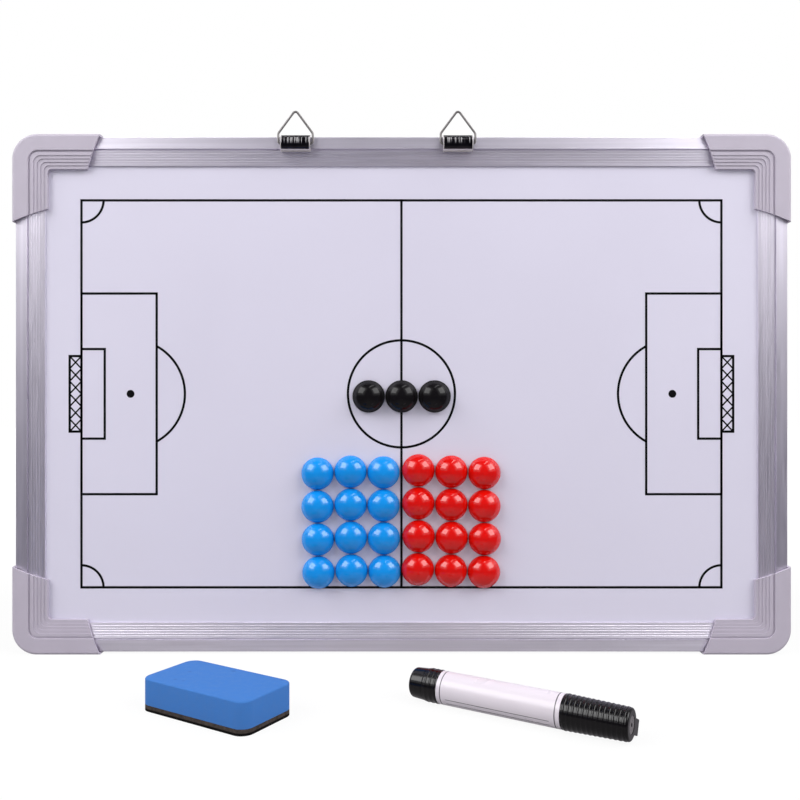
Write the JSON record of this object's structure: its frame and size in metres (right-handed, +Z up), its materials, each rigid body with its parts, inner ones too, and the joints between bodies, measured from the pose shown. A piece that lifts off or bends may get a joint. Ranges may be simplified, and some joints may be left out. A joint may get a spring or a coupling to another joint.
{
  "type": "football tactics board set",
  "caption": "Framed magnetic football tactics board with moulded corners, sliding hanging rings, domed magnetic counters, a wiping block and a capped marker pen.",
  "frame": {"origin": "on the table, under the middle of the whole set's bounding box", "axes": "+X to the right along the board, +Y away from the viewer towards the board's back, +Z up"},
  "size_m": [0.4524, 0.1486, 0.3156],
  "materials": {
    "white_lacquer": "satin white lacquer with the pitch printed on it",
    "fibre_core": "raw fibre board",
    "backing": "mill finish sheet",
    "rail_aluminium": "satin anodised",
    "grey_moulding": "moulded, satin grey",
    "plug_plastic": "moulded, plain",
    "screw_steel": "zinc plated",
    "dark_chrome": "black chrome",
    "ring_wire": "dark plated wire",
    "blue_counter": "polished",
    "red_counter": "polished",
    "black_counter": "polished",
    "blue_foam": "closed-cell foam",
    "dark_felt": "pressed felt",
    "pen_black": "moulded, semi-gloss",
    "label_film": "white wrapped film",
    "felt_nib": "pressed fibre",
    "ink_fibre": "ink-soaked fibre"
  },
  "bodies": {
    "board": {"writing_sheet": "white_lacquer", "panel_core": "fibre_core", "backing_sheet": "backing", "lower_rail": "rail_aluminium", "upper_rail": "rail_aluminium", "left_rail": "rail_aluminium", "right_rail": "rail_aluminium", "lower_left_corner": "grey_moulding", "lower_right_corner": "grey_moulding", "upper_left_corner": "grey_moulding", "upper_right_corner": "grey_moulding", "lower_left_plug": "plug_plastic", "lower_right_plug": "plug_plastic", "upper_left_plug": "plug_plastic", "upper_right_plug": "plug_plastic", "corner_screws": "screw_steel"},
    "left_hanger_clip": {"left_hanger_clip": "dark_chrome"},
    "left_hanger_ring": {"left_hanger_ring": "ring_wire"},
    "right_hanger_clip": {"right_hanger_clip": "dark_chrome"},
    "right_hanger_ring": {"right_hanger_ring": "ring_wire"},
    "eraser": {"eraser_foam": "blue_foam", "eraser_felt": "dark_felt"},
    "pen": {"pen_barrel": "pen_black", "pen_label": "label_film", "pen_rear_plug": "pen_black", "pen_nib_holder": "pen_black", "pen_nib": "felt_nib", "pen_ink_rod": "ink_fibre"},
    "pen_cap": {"pen_cap": "pen_black"},
    "black_counter_01": {"black_counter_01": "black_counter"},
    "black_counter_02": {"black_counter_02": "black_counter"},
    "black_counter_03": {"black_counter_03": "black_counter"},
    "blue_counter_01": {"blue_counter_01": "blue_counter"},
    "blue_counter_02": {"blue_counter_02": "blue_counter"},
    "blue_counter_03": {"blue_counter_03": "blue_counter"},
    "blue_counter_04": {"blue_counter_04": "blue_counter"},
    "blue_counter_05": {"blue_counter_05": "blue_counter"},
    "blue_counter_06": {"blue_counter_06": "blue_counter"},
    "blue_counter_07": {"blue_counter_07": "blue_counter"},
    "blue_counter_08": {"blue_counter_08": "blue_counter"},
    "blue_counter_09": {"blue_counter_09": "blue_counter"},
    "blue_counter_10": {"blue_counter_10": "blue_counter"},
    "blue_counter_11": {"blue_counter_11": "blue_counter"},
    "blue_counter_12": {"blue_counter_12": "blue_counter"},
    "red_counter_01": {"red_counter_01": "red_counter"},
    "red_counter_02": {"red_counter_02": "red_counter"},
    "red_counter_03": {"red_counter_03": "red_counter"},
    "red_counter_04": {"red_counter_04": "red_counter"},
    "red_counter_05": {"red_counter_05": "red_counter"},
    "red_counter_06": {"red_counter_06": "red_counter"},
    "red_counter_07": {"red_counter_07": "red_counter"},
    "red_counter_08": {"red_counter_08": "red_counter"},
    "red_counter_09": {"red_counter_09": "red_counter"},
    "red_counter_10": {"red_counter_10": "red_counter"},
    "red_counter_11": {"red_counter_11": "red_counter"},
    "red_counter_12": {"red_counter_12": "red_counter"}
  },
  "joints": [
    {"name": "left_hanger_clip_slide", "type": "slide", "parent": "board", "child": "left_hanger_clip", "axis": [1, 0, 0], "range_m": [-0.1, 0.025]},
    {"name": "left_hanger_ring_swing", "type": "hinge", "parent": "left_hanger_clip", "child": "left_hanger_ring", "pos_m": [-0.0615, 0.0582, 0.2966], "axis": [1, 0, 0], "range_deg": [0, 180]},
    {"name": "right_hanger_clip_slide", "type": "slide", "parent": "board", "child": "right_hanger_clip", "axis": [1, 0, 0], "range_m": [-0.025, 0.125]},
    {"name": "right_hanger_ring_swing", "type": "hinge", "parent": "right_hanger_clip", "child": "right_hanger_ring", "pos_m": [0.0327, 0.0582, 0.2966], "axis": [1, 0, 0], "range_deg": [0, 180]},
    {"name": "eraser_lift", "type": "slide", "parent": "board", "child": "eraser", "axis": [0, 0, 1], "range_m": [0, 0.06]},
    {"name": "pen_lift", "type": "slide", "parent": "board", "child": "pen", "axis": [0, 0, 1], "range_m": [0, 0.06]},
    {"name": "pen_cap_pull", "type": "slide", "parent": "pen", "child": "pen_cap", "axis": [0.8554, -0.518, 0], "range_m": [0, 0.045]},
    {"name": "black_counter_01_pull", "type": "slide", "parent": "board", "child": "black_counter_01", "axis": [0, -1, 0], "range_m": [0, 0.03]},
    {"name": "black_counter_02_pull", "type": "slide", "parent": "board", "child": "black_counter_02", "axis": [0, -1, 0], "range_m": [0, 0.03]},
    {"name": "black_counter_03_pull", "type": "slide", "parent": "board", "child": "black_counter_03", "axis": [0, -1, 0], "range_m": [0, 0.03]},
    {"name": "blue_counter_01_pull", "type": "slide", "parent": "board", "child": "blue_counter_01", "axis": [0, -1, 0], "range_m": [0, 0.03]},
    {"name": "blue_counter_02_pull", "type": "slide", "parent": "board", "child": "blue_counter_02", "axis": [0, -1, 0], "range_m": [0, 0.03]},
    {"name": "blue_counter_03_pull", "type": "slide", "parent": "board", "child": "blue_counter_03", "axis": [0, -1, 0], "range_m": [0, 0.03]},
    {"name": "blue_counter_04_pull", "type": "slide", "parent": "board", "child": "blue_counter_04", "axis": [0, -1, 0], "range_m": [0, 0.03]},
    {"name": "blue_counter_05_pull", "type": "slide", "parent": "board", "child": "blue_counter_05", "axis": [0, -1, 0], "range_m": [0, 0.03]},
    {"name": "blue_counter_06_pull", "type": "slide", "parent": "board", "child": "blue_counter_06", "axis": [0, -1, 0], "range_m": [0, 0.03]},
    {"name": "blue_counter_07_pull", "type": "slide", "parent": "board", "child": "blue_counter_07", "axis": [0, -1, 0], "range_m": [0, 0.03]},
    {"name": "blue_counter_08_pull", "type": "slide", "parent": "board", "child": "blue_counter_08", "axis": [0, -1, 0], "range_m": [0, 0.03]},
    {"name": "blue_counter_09_pull", "type": "slide", "parent": "board", "child": "blue_counter_09", "axis": [0, -1, 0], "range_m": [0, 0.03]},
    {"name": "blue_counter_10_pull", "type": "slide", "parent": "board", "child": "blue_counter_10", "axis": [0, -1, 0], "range_m": [0, 0.03]},
    {"name": "blue_counter_11_pull", "type": "slide", "parent": "board", "child": "blue_counter_11", "axis": [0, -1, 0], "range_m": [0, 0.03]},
    {"name": "blue_counter_12_pull", "type": "slide", "parent": "board", "child": "blue_counter_12", "axis": [0, -1, 0], "range_m": [0, 0.03]},
    {"name": "red_counter_01_pull", "type": "slide", "parent": "board", "child": "red_counter_01", "axis": [0, -1, 0], "range_m": [0, 0.03]},
    {"name": "red_counter_02_pull", "type": "slide", "parent": "board", "child": "red_counter_02", "axis": [0, -1, 0], "range_m": [0, 0.03]},
    {"name": "red_counter_03_pull", "type": "slide", "parent": "board", "child": "red_counter_03", "axis": [0, -1, 0], "range_m": [0, 0.03]},
    {"name": "red_counter_04_pull", "type": "slide", "parent": "board", "child": "red_counter_04", "axis": [0, -1, 0], "range_m": [0, 0.03]},
    {"name": "red_counter_05_pull", "type": "slide", "parent": "board", "child": "red_counter_05", "axis": [0, -1, 0], "range_m": [0, 0.03]},
    {"name": "red_counter_06_pull", "type": "slide", "parent": "board", "child": "red_counter_06", "axis": [0, -1, 0], "range_m": [0, 0.03]},
    {"name": "red_counter_07_pull", "type": "slide", "parent": "board", "child": "red_counter_07", "axis": [0, -1, 0], "range_m": [0, 0.03]},
    {"name": "red_counter_08_pull", "type": "slide", "parent": "board", "child": "red_counter_08", "axis": [0, -1, 0], "range_m": [0, 0.03]},
    {"name": "red_counter_09_pull", "type": "slide", "parent": "board", "child": "red_counter_09", "axis": [0, -1, 0], "range_m": [0, 0.03]},
    {"name": "red_counter_10_pull", "type": "slide", "parent": "board", "child": "red_counter_10", "axis": [0, -1, 0], "range_m": [0, 0.03]},
    {"name": "red_counter_11_pull", "type": "slide", "parent": "board", "child": "red_counter_11", "axis": [0, -1, 0], "range_m": [0, 0.03]},
    {"name": "red_counter_12_pull", "type": "slide", "parent": "board", "child": "red_counter_12", "axis": [0, -1, 0], "range_m": [0, 0.03]}
  ]
}
